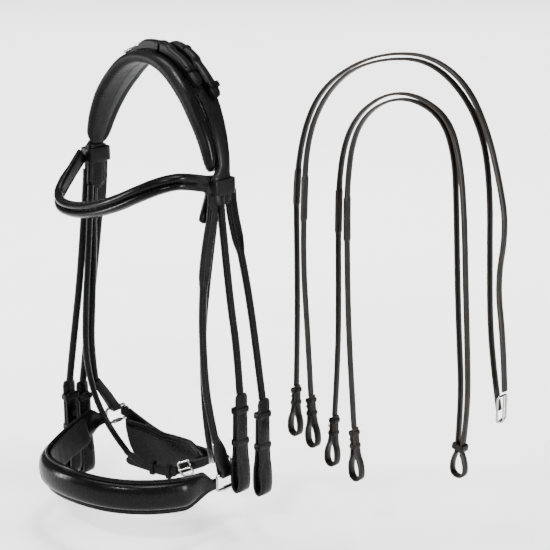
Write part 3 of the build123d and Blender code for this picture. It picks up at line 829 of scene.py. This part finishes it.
def noseband():
    """A wide padded roll between two sewn flanges, tapering to the straps that hold the rings."""
    route = [(104, -3.5, -487)] + NOSE + [(-104, -2.5, -466)]
    line = spline(route, 1.4)
    shape = Shape()

    def section(place, total):
        end = min(place, total - place)
        high = blendstep(end, 2, 22)
        full = blendstep(end, 6, 46)
        puff = blendstep(end, 14, 52)
        top = 7.2 + 14.6 * high
        low = -7.2 - 14.6 * full
        out = 2.0 + 0.9 * full
        bulge = 8.6 * puff + 0.03 * math.sin(place)
        points = [
            (top, -out * 0.6), (top - 0.3, 0.4 - out * 0.2), (top - 1.2, 0.6), (top - 2.6, 0.2),
            (top - 3.6, 0.6),
        ]
        edge = top - 4.6
        for angle in range(0, 181, 15):
            c, s = math.cos(math.radians(angle)), math.sin(math.radians(angle))
            middle = (edge + low + 7.0) / 2
            half = (edge - low - 7.0) / 2
            points.append((middle + half * np.sign(c) * abs(c) ** 0.85, 0.2 + (0.4 + bulge) * s ** 0.75))
        points += [
            (low + 6.2, 0.5), (low + 4.6, 0.1), (low + 3.0, 0.6), (low + 1.2, 0.5), (low + 0.3, 0.0),
            (low, -out * 0.6), (low + 1, -out), (0, -out), (top - 1, -out),
        ]
        points = np.array(points)
        return points + np.array([0, -2.6 * full])

    sweep(shape, line, Z_AXIS, section)
    middle = line[12:-12]
    for side in (18.6, -18.2):
        stitching(shape, middle, Z_AXIS, (side, -1.9), 1, pitch=3.4, radius=0.32, skip=8)
    piece = shape.make("noseband_padded_front", [GLOSS, THREAD], "noseband_body", ["noseband_front"],
                       60)

    inner = beside(spline(NOSE, 1.4), Z_AXIS, (0, -8.4))
    lining = Shape()
    phase = rng.rand(4) * 6.28

    def soft(place, total):
        puff = 0.5 * math.sin(place * 0.52 + phase[0]) + 0.35 * math.sin(place * 1.35 + phase[1])
        fat = rounding(min(place, total - place), 8)
        points = oval(38.5, 2.6, 3.2, 28)
        points[:, 1] -= (points[:, 1] < 0) * 0.28 * puff
        return points * np.array([0.8 + 0.2 * fat, fat])

    sweep(lining, inner, Z_AXIS, soft)
    stitching(lining, inner, Z_AXIS, (15.5, -1.25), 1)
    piece = lining.make("noseband_soft_lining", [MATT, THREAD], "noseband_body", ["noseband_lining"],
                        60)


def ring_roller(name, ring, length):
    """The tube on a ring's lower bar, with slightly chamfered ends."""
    shape = Shape()
    centre = np.array([ring[0], ring[1] + ROLLER_BACK, ring[2] - ROLLER_DROP]) * MM
    path = centre + np.outer(np.linspace(-length / 2, length / 2, 15) * MM, Y_AXIS)

    def tube(place, total):
        return oval(ROLLER, ROLLER, 2, 20) * (1 - 0.12 * (min(place, total - place) < 0.8))

    sweep(shape, path, Z_AXIS, tube)
    shape.make(name + "_ring_roller", [STEEL], "noseband_body", ())


noseband()
ring_roller("near", NEAR_RING, 15)
ring_roller("far", FAR_RING, 12)


def hanger(name, side, ring, setback, width, route, flat_from):
    """A strap from the headpiece whose flat end wraps the ring."""
    wide = (0, -side, 0)
    strap = Shape()
    line = spline([(route[0][0], route[0][1], route[0][2] + 18)] + route)
    round_strap(strap, line, wide, ROLLED, flat_from, 15)
    piece = strap.make(name + "_hanger_strap", [GLOSS, THREAD], None, [name + "_noseband_hanger"])
    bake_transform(piece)
    top = np.array([ring[0], ring[1] + setback, ring[2] + 10], float)
    last = np.array(route[-1], float)
    up = last - top
    reach = np.linalg.norm(up)
    up = up / reach
    x = np.array([1.0, 0, 0])
    places = [
        (1.9, reach + 8), (1.9, 12), (3.9, 4), (4.2, -3.9), (-4.2, -3.9), (-3.9, 4), (-1.9, 12),
        (-1.9, reach - 4),
    ]
    path = spline([tuple(top + x * a * side + up * b) for a, b in places], 1.0)
    fold = Shape()

    def leaf(place, total):
        end = min(total - place, place + 3)
        return flat(8 + (width - 8) * blendstep(end, 0, reach * 0.6), 3.1, 0.25, 0.3)

    sweep(fold, path, wide, leaf, EDGE_SLOTS)
    outer = path[: len(path) * 2 // 5]
    inset = width / 2 - 2
    sewn(fold, outer, wide, (inset, -inset), (1.7, -1.7), 2, radius=FINE_THREAD, skip=6)
    fold.make(name + "_hanger_fold", [STRAP, SIDE, THREAD], "noseband_body", ())


NEAR_HANGER = [
    (113, -10, -148), (109, -19, -200), (106, -23, -262), (105, -21, -335), (104, -13, -392),
    (103.5, -2, -434),
]
FAR_HANGER = [
    (-113, 3, -148), (-110, -3, -190), (-106, -9, -245), (-104, -16, -312), (-103.5, -21, -365),
    (-103.5, -16, -408),
]
hanger("near", 1, NEAR_RING, -1, 17, NEAR_HANGER, 104)
hanger("far", -1, FAR_RING, -1.5, 12, FAR_HANGER, None)

# ------------------------------------------------------------------ chin strap

CHIN = [
    (101, 28.5, -487), (84, 38, -487), (56, 46, -486), (20, 50.5, -490), (-30, 52, -497),
    (-66, 49.5, -492), (-88, 40.5, -480), (-101, 30.5, -467),
]
PAD = [(34, 41), (5, 44), (-42, 42), (-78, 36), (-97, 25)]
PAD_TOP = [(-97, -472), (-88, -475), (-42, -481), (5, -477), (24, -483), (34, -488)]
PAD_LOW = [
    (-97, -486), (-92, -508), (-84, -528), (-74, -536), (-45, -537), (-11, -519), (22, -503),
    (34, -498),
]
PAD_Z = -505


def chin_strap():
    """The folded, piped leaf under the chin, and the strap behind it with eyes round the rings."""
    line = spline([(x, y, PAD_Z) for x, y in PAD], 1.2)
    shape = Shape()
    xs = line[:, 0] / MM

    def section(place, total):
        x = xs[index_at(place, total, line)]
        end = rounding(min(place, total - place) + 0.4, 9)
        top = interp(x, PAD_TOP) - PAD_Z
        low = interp(x, PAD_LOW) - PAD_Z
        mid = (top + low) / 2
        half = (top - low) / 2 * (0.75 + 0.25 * end)
        fat = 4.9 * end
        points = []
        for angle in range(0, 360, 10):
            c, s = math.cos(math.radians(angle)), math.sin(math.radians(angle))
            w = np.sign(c) * abs(c) ** 0.55
            n = np.sign(s) * abs(s) ** 0.5 * fat
            inset = half * (1 - abs(w))
            pipe = math.exp(-((inset - 4.0) ** 2) / 1.6) * 1.1
            n -= np.sign(s) * pipe * (abs(s) > 0.2)
            points.append((mid + half * w, n))
        return points

    sweep(shape, line, Z_AXIS, section)
    across = frames(line, Z_AXIS)[0]
    for edge, shift in ((PAD_TOP, -5.6), (PAD_LOW, 5.6)):
        heights = np.array([interp(x, edge) - PAD_Z + shift for x in xs])
        row = line + across * (heights * MM)[:, None]
        sewn(shape, row, Z_AXIS, (0,), (4.75, -4.75), 1, skip=5)
    piece = shape.make("chin_leaf", [GLOSS, THREAD], "chin_strap_body", ["chin_pad"], 60)

    strap = Shape()
    line = spline(CHIN, 1.4)
    sweep(strap, line, Z_AXIS, flat(13.6, 2.8, 0.2, 0.3), EDGE_SLOTS)
    sewn(strap, line, Z_AXIS, (5.0, -5.0), (1.55,), 2, radius=FINE_THREAD)
    for ring in (NEAR_RING, FAR_RING):
        centre = (ring[0], ring[1] + 15, ring[2])
        band(strap, centre, X_AXIS, Z_AXIS, 5.8, 5.8, 10, 2.6, corner=4.1)
    strap.make("chin_strap_leather", [STRAP, SIDE, THREAD], "chin_strap_body", ["chin_strap"])
    keepers = Shape()
    band(keepers, (42, 47.8, -487.5), (0.13, 1, 0), (1, -0.13, 0), 3.8, 15.8, 7, 1.3)
    keepers.make("chin_leather_keeper", [STRAP], "chin_strap_body", ["chin_keepers"])


chin_strap()

# ------------------------------------------------------------------ throatlash

THROAT_FAR = [
    (-101, -13, -173), (-101, -20, -240), (-101, -28, -305), (-99, -33, -370), (-94.5, -28, -415),
    (-90, -18, -450), (-78, -7.5, -482), (-60, -2, -501),
]
THROAT_NEAR = [
    (101, 4, -173), (101, -10, -235), (96, -14, -305), (94, -12, -375), (92, -5, -425),
    (83, 8, -458), (66, 24, -478), (58, 31, -483),
]
FAR_RUN = [(-66, 20), (-44, 8), (-18, 4), (4, 5.5), (11, 8)]
NEAR_RUN = [(62, 37), (42, 26), (24, 17), (4, 6.5), (-18, 3.5), (-46, 5), (-67, 7)]
THROAT_X = unit(np.array([124.0, 36.0, 0]))
THROAT_OUT = unit(np.array([36.0, -124.0, 0]))
THROAT_ORIGIN = np.array([0, 15.5, -518.0])


def in_throat_plane(x, z, depth=0.0):
    """A point in the plane that the throatlash's two flat ends share, in mm."""
    return tuple(THROAT_ORIGIN + THROAT_X * x + np.array([0, 0, z]) + THROAT_OUT * depth)


def throatlash():
    """Two rolled halves whose flat ends lie one behind the other, with keepers at the overlap."""
    halves = (("far", -1, THROAT_FAR, FAR_RUN, 1.5), ("near", 1, THROAT_NEAR, NEAR_RUN, -1.5))

    def leaf(place, total):
        shoulder = 0.66 + 0.34 * blendstep(place, 0, 20)
        return narrowed(flat(11.6, 2.5, 0.2, 0.3), min(rounding(total - place, 7), shoulder))

    for name, side, rolled, run, depth in halves:
        strap = Shape()
        line = spline([(rolled[0][0], rolled[0][1], rolled[0][2] + 14)] + rolled[1:])
        round_strap(strap, line, (0, -side, 0), 7.6)
        piece = strap.make("throatlash_%s_rolled" % name, [GLOSS, THREAD], None, ["throatlash_" + name])
        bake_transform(piece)
        end = Shape()
        path = spline([in_throat_plane(x, z, depth) for x, z in run], 1.4)
        sweep(end, path, Z_AXIS, leaf, EDGE_SLOTS)
        sewn(end, path, Z_AXIS, (4.0, -4.0), (1.35, -1.35), 2, radius=FINE_THREAD)
        end.make("throatlash_%s_end" % name, [STRAP, SIDE, THREAD], "throatlash_body", ())
    keepers = Shape()
    for x in (-26, -2):
        band(keepers, in_throat_plane(x, 5.5), Z_AXIS, THROAT_X, 15.6, 6.8, 6, 1.3)
    keepers.make("throatlash_leather_keepers", [STRAP], "throatlash_body", ["throatlash_keepers"])


throatlash()

# ------------------------------------------------------------------ metal that keeps its CAD shape

for name, node in NODES.items():
    if node.hide_render:
        continue
    node.data.materials.clear()
    node.data.materials.append(BRASS if "studs" in name else STEEL)
    node.data.shade_smooth()
    node.data.set_sharp_from_angle(angle=math.radians(40))

# ------------------------------------------------------------------ floor and light

FLOOR_Z = cad_box[0][2] - 0.02
REACH = 15
WORLD_STRENGTH = 0.3
floor_mesh = bpy.data.meshes.new("floor")
corners = [(REACH * x, REACH * y, FLOOR_Z) for x, y in ((-1, -1), (1, -1), (1, 1), (-1, 1))]
floor_mesh.from_pydata(corners, [], [(0, 1, 2, 3)])
floor = bpy.data.objects.new("floor", floor_mesh)
bpy.context.scene.collection.objects.link(floor)
paper, nodes, links, shader, coords = new_material("paper", Roughness=0.9)
mottle = noise(nodes, links, coords, 3, 2)
paper_tone = ramp(nodes, links, mottle, 0.3, 0.7, (0.93, 0.93, 0.93), (0.96, 0.96, 0.96))
links.new(paper_tone, shader.inputs["Base Color"])
floor_mesh.materials.append(paper)

world = bpy.data.worlds.new("world")
bpy.context.scene.world = world
world.use_nodes = True
world.node_tree.nodes["Background"].inputs["Color"].default_value = (1, 1, 1, 1)
world.node_tree.nodes["Background"].inputs["Strength"].default_value = WORLD_STRENGTH


def area(name, place, aim, size, power, spread):
    """A rectangular light at a place, turned towards another."""
    light = bpy.data.lights.new(name, "AREA")
    light.shape = "RECTANGLE"
    light.size, light.size_y = size
    light.energy = power
    light.spread = math.radians(spread)
    lamp = bpy.data.objects.new(name, light)
    bpy.context.scene.collection.objects.link(lamp)
    lamp.location = place
    lamp.rotation_euler = (Vector(place) - Vector(aim)).to_track_quat("Z", "Y").to_euler()


area("backdrop", (-1.9, 2.1, 2.4), (-1.9, 2.1, -0.6), (5, 5), 270, 60)
bpy.data.objects["backdrop"].rotation_euler = (0, 0, AZIMUTH)
area("top", (0.5, 0.1, 1.9), (0.1, 0, -0.2), (0.6, 0.25), 20, 120)
area("left", (-1.5, -1.6, 0.14), (0, 0, -0.2), (0.16, 1.3), 44, 120)
area("right", (2.0, 0.5, 0.14), (0, 0, -0.2), (0.14, 1.3), 40, 120)
area("front", (1.0, -1.8, 1.5), (0, 0, -0.3), (0.5, 0.14), 28, 120)

bpy.context.view_layer.update()
